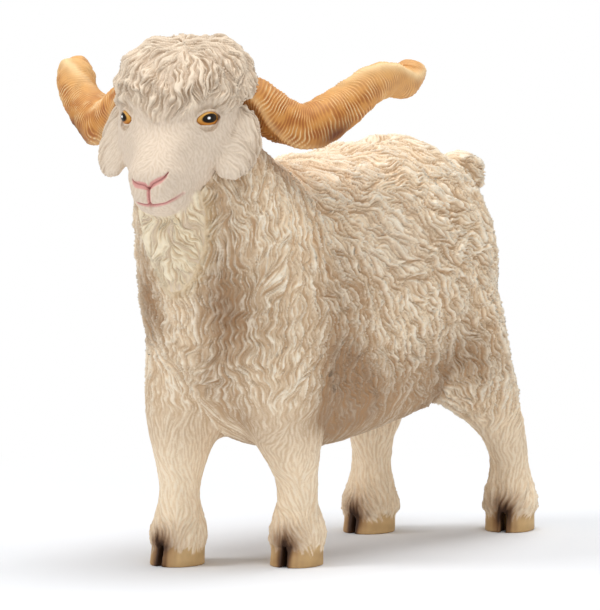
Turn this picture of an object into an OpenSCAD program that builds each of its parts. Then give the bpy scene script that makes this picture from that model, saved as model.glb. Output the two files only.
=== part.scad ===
// Long-fleeced goat figurine: moulded castings that plug together with pegs.
// Millimetres, +Z up. The goat faces -Y, so its left side is +X.

/* [Trunk] */
// Rump to the root of the neck and the brisket
body_length = 58; // [54:0.5:64]
// Width of the fleece at the ribs
body_width = 29; // [26:0.5:32]
// Floor to the top of the back
back_height = 58; // [55:0.5:61]
// Floor to the underside of the belly fleece
belly_height = 15; // [13.5:0.5:16.5]
// Waves of fleece counted from the rump to the neck
fleece_waves = 14; // [10:1:16]
// Depth of the furrows between the waves
fleece_depth = 0.9; // [0.2:0.1:1.2]

/* [Neck] */
// Skull centre forward to the front of the breast fleece
breast_reach = 2; // [1.5:0.25:3.5]
// Width of the breast fleece
breast_width = 26; // [24:0.5:28]
// Width of the neck fleece under the head
neck_width = 16.5; // [15:0.5:19]

/* [Head] */
// Stance centre to the skull centre, forward
head_reach = 33; // [31:0.5:35]
// Floor to the skull centre
head_height = 61.4; // [60:0.2:63]
// Turn of the head to the goat's left
head_turn = 21; // [10:1:30]
// Slope of the face below level
head_droop = 38; // [34:1:42]
// Skull centre to the tip of the nose, along the face
face_length = 15; // [14:0.5:16.5]
// Width of the skull
skull_width = 17; // [15.5:0.5:18.5]
// Depth of the skull, brow to throat
skull_depth = 14.6; // [13.6:0.2:15.6]
// Width of the cheeks below the eyes
cheek_width = 12.4; // [11:0.2:13.6]
// Width of the muzzle
muzzle_width = 8.2; // [7.4:0.2:9]
// Depth of the muzzle, bridge to chin
muzzle_depth = 8.4; // [7.6:0.2:9.2]

/* [Mop of curls] */
// How far the curls stand above the crown
mop_rise = 1.9; // [1.4:0.1:2.4]
// How far the curls stand out over the temples
mop_flare = 1.5; // [1.4:0.1:2.4]
// How far the curls fill out the corners over the temples
mop_corner = 1.6; // [1:0.2:2.6]
// Gap left round the horns and ears
mop_gap = 0.3; // [0.2:0.05:0.4]
// Curls counted round the mop
mop_locks = 11; // [7:1:15]
// Depth of the furrows between curls
mop_furrow = 0.45; // [0.2:0.05:0.6]

/* [Horns] */
// Skull centre to the outermost bend
horn_spread = 24.6; // [23:0.2:27]
// Skull centre back to the tip
horn_sweep = 24.5; // [22:0.5:28]
// Skull centre up to the tip
horn_lift = 7.6; // [5:0.2:9]
// Thickness at the root
horn_root = 7.2; // [6.6:0.2:7.8]
// Thickness at the blunt tip
horn_tip = 3.8; // [3:0.2:4.4]
// Growth rings along a horn
horn_ribs = 34; // [20:1:40]
// Height of a growth ring
rib_height = 0.35; // [0.1:0.05:0.5]
// Height of the keel that winds along a horn
keel_height = 0.8; // [0:0.1:1.2]
// Turn of the keel from root to tip
keel_turn = 300; // [180:10:400]

/* [Ears] */
// Root to tip
ear_length = 12; // [10.5:0.5:13]
// Across the widest part
ear_width = 6.4; // [5.6:0.2:7.2]
// Thickness at the middle
ear_thick = 2.2; // [1.8:0.1:2.8]

/* [Eyes] */
// Diameter of the eyeball
eye_d = 3.2; // [2.8:0.1:3.6]
// Share of the eyeball's radius that stands out of the socket
eye_show = 0.3; // [0.2:0.05:0.5]
// Clearance round the eyeball in its socket
eye_gap = 0.2; // [0.15:0.05:0.3]

/* [Beard] */
// Chin to the ends of the locks
beard_length = 13; // [10:0.5:15]
// Width of the locks at the chin
beard_width = 9; // [7.6:0.2:10]

/* [Tail] */
// Root to end
tail_length = 9; // [7:0.5:11]
// Width of the tuft
tail_width = 5.6; // [4.8:0.2:6.4]

/* [Legs] */
// Spacing of the two front hooves
front_track = 13; // [12:0.5:14]
// Spacing of the two rear hooves
rear_track = 14.4; // [13:0.2:15]
// Front of the breast fleece back to the middle of the front hooves
front_reach = 13.5; // [12.5:0.5:15.5]
// Stance centre to the middle of the rear hooves
rear_reach = 23.5; // [21:0.5:24]
// How far the right front hoof stands ahead of the left
front_stride = 10; // [6:0.5:12]
// How far the right rear hoof stands ahead of the left
rear_stride = 14.5; // [10:0.5:17]
// Width of the shoulder
shoulder_width = 12; // [11:0.5:13]
// Width of the thigh
thigh_width = 12.6; // [11.6:0.5:13.6]
// Width of the knee and the hock
knee_width = 7.4; // [6.8:0.2:8]
// Width of the cannon, the thinnest part of a leg
cannon_width = 5.4; // [5:0.1:6]
// Width of the woolly tuft over a hoof
tuft_width = 7.6; // [7.2:0.1:8.2]

/* [Hooves] */
// Heel to toe at the sole
hoof_length = 8; // [7.4:0.1:8.6]
// Across both claws at the sole
hoof_width = 7.2; // [6.6:0.1:7.6]
// Floor to the seam under the tuft
hoof_height = 3; // [2.6:0.1:3.4]
// Turn of the left front hoof outwards
front_toe_out = 12; // [0:2:16]
// Turn of the left rear hoof outwards
rear_toe_out = 22; // [0:2:26]
// Width of the cleft between the claws
cleft_width = 0.8; // [0.5:0.1:1]
// Depth of the cleft, back from the toe
cleft_depth = 3; // [2:0.2:3.4]

/* [Pegs] */
// Gap between the faces of two castings
seam = 0.1; // [0.05:0.05:0.2]
// Gap all round a peg in its socket
peg_fit = 0.1; // [0.05:0.05:0.2]
// Peg between neck and head
neck_peg = 7; // [6:0.5:8]
// Peg at the top of a leg
leg_peg = 4; // [3:0.5:4.5]
// Peg at the root of a horn
horn_peg = 3.6; // [3:0.2:4]
// Peg on top of a hoof
hoof_peg = 3; // [2.4:0.2:3.4]
// Pegs of the ears, mop, beard and tail
trim_peg = 1.8; // [1.4:0.1:2]
// Length of those pegs
trim_peg_length = 4; // [3.5:0.25:4.5]
// Stem behind an eye
eye_peg = 1.2; // [1:0.1:1.4]

/* [Hidden] */
loft_steps = 4;
limb_steps = 3;
trunk_sides = 36;
head_sides = 24;
limb_sides = 18;
trim_sides = 16;
horn_sides = 14;
boxy = 2.2;

// Moves the stance centre so that the outline's middle stands on the origin
nose_y = -head_reach - face_length * 0.83;
heel_y = rear_reach + (rear_stride + hoof_length) / 2;
stance = [horn_sweep * 0.883 * sin(head_turn), -(nose_y + heel_y) / 2, 0];

trunk_depth = back_height - belly_height;
breast_y = -head_reach - breast_reach;
rump_y = body_length * 0.485;
seam_z = hoof_height + seam;
leg_top = belly_height + trunk_depth * 0.52;

// Catmull-Rom value between b and c
function spline(a, b, c, d, t) =
    0.5 * (2 * b + (c - a) * t + (2 * a - 5 * b + 4 * c - d) * t * t + (3 * b - a - 3 * c + d) * t * t * t);

// Rows of a table, with so many steps in each interval
function refine(rows, steps) =
    let (last = len(rows) - 1)
    [for (i = [0 : last - 1], k = [0 : steps - 1])
        spline(rows[max(i - 1, 0)], rows[i], rows[i + 1], rows[min(i + 2, last)], k / steps),
     rows[last]];

function unit(v) = v / norm(v);

// Superellipse: 2 is an ellipse, more is boxier
function bulge(v) = sign(v) * pow(abs(v), 2 / boxy);

// One point of a ring: [x, y, z, tilt, half width, height above, height below]
function ring_point(row, a) =
    let (rise = (sin(a) > 0 ? row[5] : row[6]) * bulge(sin(a)))
    [row[0] + row[4] * bulge(cos(a)), row[1] + rise * sin(row[3]), row[2] + rise * cos(row[3])];

function ring(row, sides) = [for (k = [0 : sides - 1]) ring_point(row, 360 * k / sides)];

// Rows made larger all round by a gap, ends included
function grow(rows, gap) =
    let (last = len(rows) - 1,
         back = gap * unit(spot(rows[0]) - spot(rows[1])),
         ahead = gap * unit(spot(rows[last]) - spot(rows[last - 1])))
    [for (i = [0 : last])
        let (shift = i == 0 ? back : i == last ? ahead : [0, 0, 0])
        rows[i] + concat(shift, [0, gap, gap, gap])];

function spot(row) = [row[0], row[1], row[2]];

module skin(rings) {
    sides = len(rings[0]);
    count = len(rings);
    walls = [for (i = [0 : count - 2], k = [0 : sides - 1])
        let (n = (k + 1) % sides)
        each [[i * sides + k, (i + 1) * sides + k, (i + 1) * sides + n],
              [i * sides + k, (i + 1) * sides + n, i * sides + n]]];
    first = [for (k = [0 : sides - 1]) k];
    last = [for (k = [sides - 1 : -1 : 0]) (count - 1) * sides + k];
    polyhedron([for (r = rings) each r], concat(walls, [first, last]), convexity = 6);
}

module loft(rows, sides, steps = loft_steps) {
    skin([for (row = refine(rows, steps)) ring(row, sides)]);
}

// The stretch of a loft between two of its rows, for cutting what lies against it there
module stretch(rows, sides, first, last) {
    all = refine(rows, loft_steps);
    skin([for (i = [first * loft_steps : min(last * loft_steps, len(all) - 1)]) ring(all[i], sides)]);
}

// A round bar that starts at a point and runs along a direction
module bar(base, way, d, length) {
    translate(base)
        rotate([0, acos(unit(way)[2]), atan2(way[1], way[0])])
            cylinder(d = d, h = length);
}

module socket(base, way, d, length) {
    bar(base, way, d + 2 * peg_fit, length + peg_fit);
}

// Trunk rings from rump to chest: [share of length, share of half width, top, low],
// where 0 is the belly line and 1 the back
trunk_table = [
    [0.01, 0.20, 0.70, 0.56],
    [0.04, 0.51, 0.78, 0.34],
    [0.10, 0.75, 0.89, 0.18],
    [0.24, 0.91, 0.99, 0.08],
    [0.43, 0.98, 0.98, 0.03],
    [0.62, 0.99, 0.95, 0.00],
    [0.77, 0.95, 0.94, 0.02]
];

// A ring between a point on the upper line and one on the lower line of the profile
function span_row(upper, lower, wide) =
    let (half = norm(upper - lower) / 2, mid = (upper + lower) / 2)
    [0, mid[0], mid[1], atan2(upper[0] - lower[0], upper[1] - lower[1]), wide / 2, half, half];

chest_y = rump_y - 0.77 * body_length;
withers = [chest_y, belly_height + 0.94 * trunk_depth];
poll = [-head_reach + skull_depth * 0.24, head_height + skull_depth * 0.23];
nape_dip = trunk_depth * 0.14;

// Upper and lower line of the profile, as shares of the way
function nape(share) = withers + share * (poll - withers) - [0, nape_dip * share * (1 - share)];
function breast(out, rise) = [chest_y + out * (breast_y - chest_y), belly_height + rise * trunk_depth];

// A point under the skull, as shares of the skull's depth
function throat(ahead, down) = [-head_reach - ahead * skull_depth, head_height - down * skull_depth];

function trunk_row(r) =
    let (y = rump_y - r[0] * body_length)
    span_row([y, belly_height + r[2] * trunk_depth],
             [y, belly_height + r[3] * trunk_depth],
             r[1] * body_width);

torso_rows = concat(
    [for (r = trunk_table) trunk_row(r)],
    [span_row(nape(0.10), breast(0.42, 0.10), (body_width + breast_width) / 2),
     span_row(nape(0.22), breast(0.78, 0.28), breast_width),
     span_row(nape(0.36), breast(0.93, 0.50), breast_width * 0.90),
     span_row(nape(0.54), breast(1.00, 0.71), (breast_width + neck_width) / 2),
     span_row(nape(0.76), throat(0.26, 0.54), neck_width),
     span_row(nape(1.00), throat(0.24, 0.20), neck_width * 0.66)]);

// How far the fleece stands out: waves that lean back down the flanks and run down the breast,
// and fade where the legs, the head and the tail join
function fleece(share, a) =
    let (down = min(abs(a - 90), 360 - abs(a - 90)),
         lean = 4 + 7 * fade((share - 0.55) / 0.25),
         flank = max(fade((105 - down) / 25), fade((share - 0.72) / 0.08)),
         ends = fade(4 * share) * fade(5 * (1 - share)))
    fleece_depth / 2 * flank * ends * cos(360 * fleece_waves * share + lean * down + 45 * sin(5 * down));

function fade(v) = max(min(v, 1), 0);

// The trunk between two of its rows, larger all round by a gap
module trunk(first, last, gap = 0) {
    rows = refine(grow(torso_rows, gap), loft_steps);
    end = len(rows) - 1;
    skin([for (i = [first * loft_steps : min(last * loft_steps, end)])
        [for (k = [0 : trunk_sides - 1])
            let (a = 360 * k / trunk_sides,
                 wave = fleece(i / end, a))
            ring_point(rows[i] + [0, 0, 0, 0, wave, wave, wave], a)]]);
}

module torso_form() {
    trunk(0, len(torso_rows));
}

module torso_cut(first, last) {
    trunk(first, last, seam);
}

// Head rings from the nape to the nose, in the head's own frame:
// along the slope of the face, above it, tilt from it, full width, above, below
function head_row(along, above, tilt, wide, up, down) =
    [0,
     -along * cos(head_droop) - above * sin(head_droop),
     -along * sin(head_droop) + above * cos(head_droop),
     tilt - head_droop, wide / 2, up, down];

eye_row = head_row(face_length * 0.27, 0, 0, skull_width * 0.93, skull_depth * 0.43, skull_depth * 0.50);

head_rows = [
    head_row(-skull_depth * 0.52, skull_depth * 0.07, 20,
             skull_width * 0.36, skull_depth * 0.16, skull_depth * 0.16),
    head_row(-skull_depth * 0.40, skull_depth * 0.08, 18,
             skull_width * 0.82, skull_depth * 0.37, skull_depth * 0.40),
    head_row(-skull_depth * 0.08, skull_depth * 0.04, 8,
             skull_width, skull_depth * 0.50, skull_depth * 0.50),
    eye_row,
    head_row(face_length * 0.50, -muzzle_depth * 0.02, 0,
             cheek_width, muzzle_depth * 0.58, muzzle_depth * 0.76),
    head_row(face_length * 0.72, -muzzle_depth * 0.02, 0,
             muzzle_width * 1.1, muzzle_depth * 0.50, muzzle_depth * 0.60),
    head_row(face_length * 0.88, -muzzle_depth * 0.05, 0,
             muzzle_width, muzzle_depth * 0.45, muzzle_depth * 0.52),
    head_row(face_length * 0.97, -muzzle_depth * 0.08, -2,
             muzzle_width * 0.78, muzzle_depth * 0.36, muzzle_depth * 0.40),
    head_row(face_length, -muzzle_depth * 0.11, -4,
             muzzle_width * 0.36, muzzle_depth * 0.16, muzzle_depth * 0.18)
];

skull = [0, -head_reach, head_height];

module at_head() {
    translate(skull) rotate([0, 0, head_turn]) children();
}

module head_form() {
    at_head() loft(head_rows, head_sides);
}

module head_cut(first, last) {
    at_head() stretch(grow(head_rows, seam), head_sides, first, last);
}

// Mop rings: the skull's own rings with curls standing above them
mop_root_depth = skull_depth * 0.05;
mop_back = skull_depth * 0.20 + mop_rise;
mop_top = skull_depth * 0.28 + mop_rise;
mop_front = skull_depth * 0.18 + mop_rise;
mop_fringe = skull_depth * 0.11 + mop_rise * 0.6;
mop_rows = [
    head_row(-skull_depth * 0.72, skull_depth * 0.10, 30,
             skull_width * 0.45, skull_depth * 0.12, mop_root_depth),
    head_row(-skull_depth * 0.60, skull_depth * 0.11, 28, skull_width * 0.86, mop_back, mop_root_depth),
    head_row(-skull_depth * 0.32, skull_depth * 0.14, 16,
             skull_width + 2 * mop_flare, mop_top, mop_root_depth),
    head_row(face_length * 0.05, skull_depth * 0.26, 7,
             skull_width * 0.86 + mop_flare, mop_front, mop_root_depth),
    head_row(face_length * 0.24, skull_depth * 0.34, 3, skull_width * 0.46, mop_fringe, mop_root_depth),
    head_row(face_length * 0.40, skull_depth * 0.31, 0,
             skull_width * 0.2, skull_depth * 0.05, mop_root_depth)
];

module mop_form() {
    rows = refine(mop_rows, loft_steps);
    last = len(rows) - 1;
    rings = [for (i = [0 : last])
        let (swell = sin(180 * i / last))
        [for (k = [0 : 2 * head_sides - 1])
            let (a = 180 * k / head_sides,
                 corner = mop_corner * swell * pow(max(sin(2 * a), sin(-2 * a)) * max(sin(a), 0), 2),
                 puff = corner + mop_furrow * swell * cos(mop_locks * a + 75 * i))
            ring_point(rows[i] + [0, 0, 0, 0, puff, puff, 0], a)]];
    at_head() skin(rings);
}

// Horn centre line in the head's own frame: shares of spread, sweep and lift, then of the taper
horn_table = [
    [0.15, 0.08, 0.48, 0.00],
    [0.33, 0.18, 0.36, 0.08],
    [0.48, 0.26, 0.02, 0.20],
    [0.61, 0.34, -0.09, 0.36],
    [0.77, 0.49, 0.22, 0.52],
    [0.87, 0.61, 0.58, 0.62],
    [0.93, 0.76, 0.70, 0.70],
    [0.98, 0.88, 0.63, 0.78],
    [1.00, 0.96, 0.75, 0.86],
    [1.00, 1.00, 1.00, 0.96]
];

function horn_spot(r, side) = [side * r[0] * horn_spread, r[1] * horn_sweep, r[2] * horn_lift];

// Thickness swells at each growth ring, and a keel winds round
module horn_form(side, gap = 0, share = 1) {
    rows = refine(horn_table, 8);
    last = len(rows) - 1;
    stations = 2 * horn_ribs;
    rings = [for (i = [0 : floor(stations * share)])
        let (at = last * i / stations,
             j = min(floor(at), last - 1),
             row = rows[j] + (at - j) * (rows[j + 1] - rows[j]),
             t = unit(horn_spot(rows[j + 1], side) - horn_spot(rows[max(j - 1, 0)], side)),
             e1 = unit(cross(t, [0, 0, 1])),
             e2 = cross(t, e1),
             rounding = i > stations - 3 ? 0.62 + 0.19 * (stations - i) : min(0.8 + 0.05 * i, 1),
             r = (horn_root + row[3] * (horn_tip - horn_root)) / 2 * rounding + (i % 2) * rib_height + gap,
             turn = side * keel_turn * i / stations)
        [for (k = [0 : horn_sides - 1])
            let (a = 360 * k / horn_sides,
                 keel = keel_height * pow(max(cos(a - turn), 0), 4) * (1 - 0.5 * i / stations))
            horn_spot(row, side) + (r + keel) * (cos(a) * e1 + sin(a) * e2)]];
    at_head() skin(rings);
}

// Ear rings, hanging from the root: share of length, width share, thickness share, outward
ear_table = [
    [0.08, 0.30, 0.6, -0.14],
    [0.00, 0.50, 0.9, -0.04],
    [-0.25, 0.86, 1.0, 0.06],
    [-0.55, 1.00, 1.0, 0.10],
    [-0.85, 0.80, 0.8, 0.02],
    [-1.00, 0.36, 0.4, -0.04]
];
ear_root = [skull_width * 0.45, skull_depth * 0.07, skull_depth * 0.22];

module ear_form(side, gap = 0) {
    at_head()
        translate([side * ear_root[0], ear_root[1], ear_root[2]])
            rotate([-28, side * 10, side * 26])
                loft(grow([for (r = ear_table)
                    [side * r[3] * ear_width, 0, r[0] * ear_length, -90,
                     r[1] * ear_width / 2, r[2] * ear_thick / 2, r[2] * ear_thick / 2]], gap),
                     trim_sides, limb_steps);
}

// Eye seat on the head's surface, at the eye ring
eye_spot = ring_point(eye_row, 43);
eye_way = unit([0.8, -0.55, 0.2]);
eye_seat = eye_spot - eye_way * eye_d / 2 * (1 - eye_show);

// Beard rings, hanging under the chin: height share, width share, depth share
beard_table = [
    [0.25, 0.5, 0.6],
    [0.05, 0.9, 1.0],
    [-0.3, 1.0, 1.0],
    [-0.7, 0.8, 0.8],
    [-1.0, 0.3, 0.3]
];
chin = head_row(face_length * 0.78, -muzzle_depth * 0.45, 0, 1, 1, 1);

module beard_form() {
    at_head()
        loft([for (r = beard_table)
            [0, chin[1] + (0.3 - r[0] * 0.5) * beard_width, chin[2] + r[0] * beard_length, -90,
             r[1] * beard_width / 2, r[2] * beard_width * 0.4, r[2] * beard_width * 0.5]],
             trim_sides, limb_steps);
}

// Tail rings, back over the top of the rump and down: back, up, size, droop
tail_table = [
    [-0.50, -0.13, 0.70, -15],
    [-0.24, -0.01, 0.95, -5],
    [0.03, 0.01, 1.00, 20],
    [0.24, -0.14, 0.85, 45],
    [0.38, -0.36, 0.35, 60]
];
tail_root = [0, rump_y - tail_length * 0.02, belly_height + trunk_depth * 0.87];

module tail_form() {
    loft([for (r = tail_table)
        [0, tail_root[1] + r[0] * tail_length, tail_root[2] + r[1] * tail_length, 180 + r[3],
         r[2] * tail_width / 2, r[2] * tail_width * 0.45, r[2] * tail_width * 0.45]], trim_sides, limb_steps);
}

// Leg rings: share of the height, share of the way from foot to hip, full width, front, rear
function leg_row(foot, hip, rise, way, wide, front, rear) =
    [foot[0] + (hip[0] - foot[0]) * way, foot[1] + (hip[1] - foot[1]) * way,
     seam_z + (leg_top - seam_z) * rise, 90, wide / 2, rear, front];

function fore_rows(foot, hip) = [
    leg_row(foot, hip, 0, 0, tuft_width * 0.96, tuft_width * 0.53, tuft_width * 0.48),
    leg_row(foot, hip, 0.05, 0, tuft_width, tuft_width * 0.52, tuft_width * 0.50),
    leg_row(foot, hip, 0.17, 0.02, cannon_width, cannon_width * 0.52, cannon_width * 0.52),
    leg_row(foot, hip, 0.26, 0.08, cannon_width * 1.06, cannon_width * 0.56, cannon_width * 0.55),
    leg_row(foot, hip, 0.36, 0.28, knee_width, knee_width * 0.62, knee_width * 0.46),
    leg_row(foot, hip, 0.48, 0.55, shoulder_width * 0.84, shoulder_width * 0.52, shoulder_width * 0.40),
    leg_row(foot, hip, 0.66, 0.85, shoulder_width, shoulder_width * 0.58, shoulder_width * 0.56),
    leg_row(foot, hip, 0.86, 1, shoulder_width * 0.86, shoulder_width * 0.52, shoulder_width * 0.52),
    leg_row(foot, hip, 1, 1, shoulder_width * 0.4, shoulder_width * 0.3, shoulder_width * 0.3)];

function hind_rows(foot, hip) = [
    leg_row(foot, hip, 0, 0, tuft_width, tuft_width * 0.54, tuft_width * 0.52),
    leg_row(foot, hip, 0.05, 0, tuft_width, tuft_width * 0.52, tuft_width * 0.52),
    leg_row(foot, hip, 0.17, 0.03, cannon_width, cannon_width * 0.50, cannon_width * 0.54),
    leg_row(foot, hip, 0.28, 0.10, cannon_width * 1.04, cannon_width * 0.54, cannon_width * 0.56),
    leg_row(foot, hip, 0.38, 0.30, knee_width, knee_width * 0.62, knee_width * 0.52),
    leg_row(foot, hip, 0.52, 0.62, thigh_width * 0.84, thigh_width * 0.72, thigh_width * 0.36),
    leg_row(foot, hip, 0.70, 0.95, thigh_width, thigh_width * 0.70, thigh_width * 0.43),
    leg_row(foot, hip, 0.88, 1, thigh_width * 0.86, thigh_width * 0.55, thigh_width * 0.38),
    leg_row(foot, hip, 1, 1, thigh_width * 0.4, thigh_width * 0.3, thigh_width * 0.25)];

front_left_foot = [front_track / 2, breast_y + front_reach + front_stride / 2];
front_right_foot = [-front_track / 2, breast_y + front_reach - front_stride / 2];
rear_left_foot = [rear_track / 2, rear_reach + rear_stride / 2];
rear_right_foot = [-rear_track / 2, rear_reach - rear_stride / 2];
front_left_hip = [body_width * 0.265, chest_y - shoulder_width * 0.42];
front_right_hip = [-body_width * 0.265, chest_y - shoulder_width * 0.42];
rear_left_hip = [body_width * 0.27, rump_y - thigh_width * 0.75];
rear_right_hip = [-body_width * 0.27, rump_y - thigh_width * 0.75];

// A leg's peg runs up its own middle, from inside the leg into the trunk
function leg_spot(foot, hip, rise, way) = spot(leg_row(foot, hip, rise, way, 1, 1, 1));

peg_length = trunk_depth * 0.26;
front_left_peg = leg_spot(front_left_foot, front_left_hip, 0.42, 0.34);
front_right_peg = leg_spot(front_right_foot, front_right_hip, 0.42, 0.34);
rear_left_peg = leg_spot(rear_left_foot, rear_left_hip, 0.45, 0.44);
rear_right_peg = leg_spot(rear_right_foot, rear_right_hip, 0.45, 0.44);
front_left_way = leg_spot(front_left_foot, front_left_hip, 0.72, 0.86) - front_left_peg;
front_right_way = leg_spot(front_right_foot, front_right_hip, 0.72, 0.86) - front_right_peg;
rear_left_way = leg_spot(rear_left_foot, rear_left_hip, 0.72, 0.96) - rear_left_peg;
rear_right_way = leg_spot(rear_right_foot, rear_right_hip, 0.72, 0.96) - rear_right_peg;

module leg(rows, foot, base, way, first, last) {
    translate(stance)
        difference() {
            union() {
                difference() {
                    loft(rows, limb_sides, limb_steps);
                    torso_cut(first, last);
                }
                bar(base, way, leg_peg, peg_length);
            }
            socket([foot[0], foot[1], 0], [0, 0, 1], hoof_peg, hoof_height * 2);
        }
}

// Hoof: flat sole, sloping toe, a cleft between the claws and a peg up into the leg
module hoof(foot, toe_out) {
    translate(stance + [foot[0], foot[1], 0])
        rotate(toe_out)
            difference() {
                union() {
                    loft([[0, -0.3, -1, 90, hoof_width / 2, hoof_length * 0.46, hoof_length * 0.54],
                          [0, 0, hoof_height, 90, hoof_width * 0.48, hoof_length * 0.44, hoof_length * 0.47]],
                         limb_sides, 1);
                    bar([0, 0, 0.5], [0, 0, 1], hoof_peg, hoof_height * 2 - 0.5);
                }
                translate([-hoof_length, -hoof_length, -2])
                    cube([2 * hoof_length, 2 * hoof_length, 2]);
                translate([-cleft_width / 2, -hoof_length, -1])
                    cube([cleft_width, hoof_length * 0.5 + cleft_depth, hoof_height + 2]);
            }
}

// Pegs of the head, the trim and the eyes: where each starts and which way it runs
neck_way = unit([0, chest_y, belly_height + trunk_depth / 2] - skull);
neck_peg_length = skull_depth * 0.98;
tail_way = unit([0, -1, -0.6]);
mop_root = ring_point(head_rows[2], 90) + [0, 0, mop_rise * 0.4];
mop_way = unit([0, mop_root[1], mop_root[2]]) * -1;
chin_root = spot(chin) - [0, 0, 1];
chin_way = [0, 0.3, 1];
horn_base = horn_spot(horn_table[1], 1);
horn_way = horn_spot(horn_table[0], 1) - horn_base;
ear_base = ear_root + ear_width * [0.30, -0.16, -0.50];
ear_way = [-1, -0.15, -0.1];

module mirrored(side) {
    mirror([side < 0 ? 1 : 0, 0, 0]) children();
}

module horn_socket(side) {
    mirrored(side) socket(horn_base, horn_way, horn_peg, norm(horn_way) + 1);
}

module horn(side) {
    translate(stance)
        union() {
            difference() {
                horn_form(side);
                head_cut(0, 4);
            }
            at_head() mirrored(side) bar(horn_base, horn_way, horn_peg, norm(horn_way) + 1);
        }
}

module ear_socket(side) {
    mirrored(side) socket(ear_base, ear_way, trim_peg, trim_peg_length);
}

module ear(side) {
    translate(stance)
        union() {
            difference() {
                ear_form(side);
                head_cut(0, 5);
                horn_form(side, seam, 0.6);
                torso_cut(9, 13);
            }
            at_head() mirrored(side) bar(ear_base, ear_way, trim_peg, trim_peg_length);
        }
}

// A round pocket for the eyeball, with a bore behind it for the stem
module eye_socket(side) {
    pocket_d = eye_d + 2 * eye_gap;
    mirrored(side)
        translate(eye_seat) {
            bar(-eye_way * pocket_d / 2, eye_way, pocket_d, pocket_d);
            socket([0, 0, 0], -eye_way, eye_peg, eye_d);
        }
}

module eye(side) {
    translate(stance)
        at_head()
            mirrored(side)
                translate(eye_seat)
                    union() {
                        sphere(d = eye_d);
                        bar([0, 0, 0], -eye_way, eye_peg, eye_d);
                    }
}

module torso() {
    color("wheat")
        translate(stance)
            difference() {
                torso_form();
                head_cut(0, 9);
                horn_form(1, seam, 0.4);
                horn_form(-1, seam, 0.4);
                socket(front_left_peg, front_left_way, leg_peg, peg_length);
                socket(front_right_peg, front_right_way, leg_peg, peg_length);
                socket(rear_left_peg, rear_left_way, leg_peg, peg_length);
                socket(rear_right_peg, rear_right_way, leg_peg, peg_length);
                socket(skull, neck_way, neck_peg, neck_peg_length);
                socket(tail_root, tail_way, trim_peg, trim_peg_length);
            }
}

module head() {
    color("linen")
        translate(stance)
            difference() {
                union() {
                    head_form();
                    bar(skull, neck_way, neck_peg, neck_peg_length);
                }
                at_head() {
                    for (side = [-1, 1]) {
                        eye_socket(side);
                        ear_socket(side);
                        horn_socket(side);
                    }
                    socket(mop_root, mop_way, trim_peg, trim_peg_length);
                    socket(chin_root, chin_way, trim_peg, trim_peg_length);
                }
            }
}

module forelock() {
    color("antiquewhite")
        translate(stance)
            union() {
                difference() {
                    mop_form();
                    head_cut(0, 5);
                    torso_cut(8, 13);
                    for (side = [-1, 1]) {
                        horn_form(side, mop_gap, 0.6);
                        ear_form(side, mop_gap);
                        at_head() eye_socket(side);
                    }
                }
                at_head() bar(mop_root, mop_way, trim_peg, trim_peg_length);
            }
}

module beard() {
    color("cornsilk")
        translate(stance)
            union() {
                difference() {
                    beard_form();
                    head_cut(3, 8);
                    torso_cut(8, 13);
                }
                at_head() bar(chin_root, chin_way, trim_peg, trim_peg_length);
            }
}

module tail() {
    color("wheat")
        translate(stance)
            union() {
                difference() {
                    tail_form();
                    torso_cut(0, 3);
                }
                bar(tail_root, tail_way, trim_peg, trim_peg_length);
            }
}

module left_horn() {
    color("goldenrod") horn(1);
}

module right_horn() {
    color("goldenrod") horn(-1);
}

module left_ear() {
    color("linen") ear(1);
}

module right_ear() {
    color("linen") ear(-1);
}

module left_eye() {
    color("orange") eye(1);
}

module right_eye() {
    color("orange") eye(-1);
}

module front_left_leg() {
    rows = fore_rows(front_left_foot, front_left_hip);
    color("wheat") leg(rows, front_left_foot, front_left_peg, front_left_way, 4, 10);
}

module front_right_leg() {
    rows = fore_rows(front_right_foot, front_right_hip);
    color("wheat") leg(rows, front_right_foot, front_right_peg, front_right_way, 4, 10);
}

module rear_left_leg() {
    rows = hind_rows(rear_left_foot, rear_left_hip);
    color("wheat") leg(rows, rear_left_foot, rear_left_peg, rear_left_way, 0, 5);
}

module rear_right_leg() {
    rows = hind_rows(rear_right_foot, rear_right_hip);
    color("wheat") leg(rows, rear_right_foot, rear_right_peg, rear_right_way, 0, 5);
}

module front_left_hoof() {
    color("tan") hoof(front_left_foot, front_toe_out);
}

module front_right_hoof() {
    color("tan") hoof(front_right_foot, 0);
}

module rear_left_hoof() {
    color("tan") hoof(rear_left_foot, rear_toe_out);
}

module rear_right_hoof() {
    color("tan") hoof(rear_right_foot, 0);
}

torso();
head();
forelock();
left_horn();
right_horn();
left_ear();
right_ear();
left_eye();
right_eye();
beard();
tail();
front_left_leg();
front_right_leg();
rear_left_leg();
rear_right_leg();
front_left_hoof();
front_right_hoof();
rear_left_hoof();
rear_right_hoof();
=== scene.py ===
"""Goat figurine: fleece, face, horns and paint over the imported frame."""

import math

import bpy
import numpy as np
import openvdb as vdb
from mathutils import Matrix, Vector


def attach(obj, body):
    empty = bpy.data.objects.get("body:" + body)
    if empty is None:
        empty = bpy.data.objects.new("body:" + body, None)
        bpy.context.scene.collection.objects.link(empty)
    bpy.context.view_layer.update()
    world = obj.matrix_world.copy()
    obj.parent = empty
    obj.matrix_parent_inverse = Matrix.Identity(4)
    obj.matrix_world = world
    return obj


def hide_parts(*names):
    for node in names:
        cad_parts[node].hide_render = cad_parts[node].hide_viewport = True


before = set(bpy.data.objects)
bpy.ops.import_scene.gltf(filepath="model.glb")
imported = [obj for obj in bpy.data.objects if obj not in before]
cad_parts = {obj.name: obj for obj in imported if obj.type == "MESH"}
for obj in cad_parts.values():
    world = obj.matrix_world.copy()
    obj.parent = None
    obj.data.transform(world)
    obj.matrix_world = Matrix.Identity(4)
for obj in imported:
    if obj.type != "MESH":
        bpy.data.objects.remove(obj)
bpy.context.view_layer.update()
COARSE = 1.0

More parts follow.
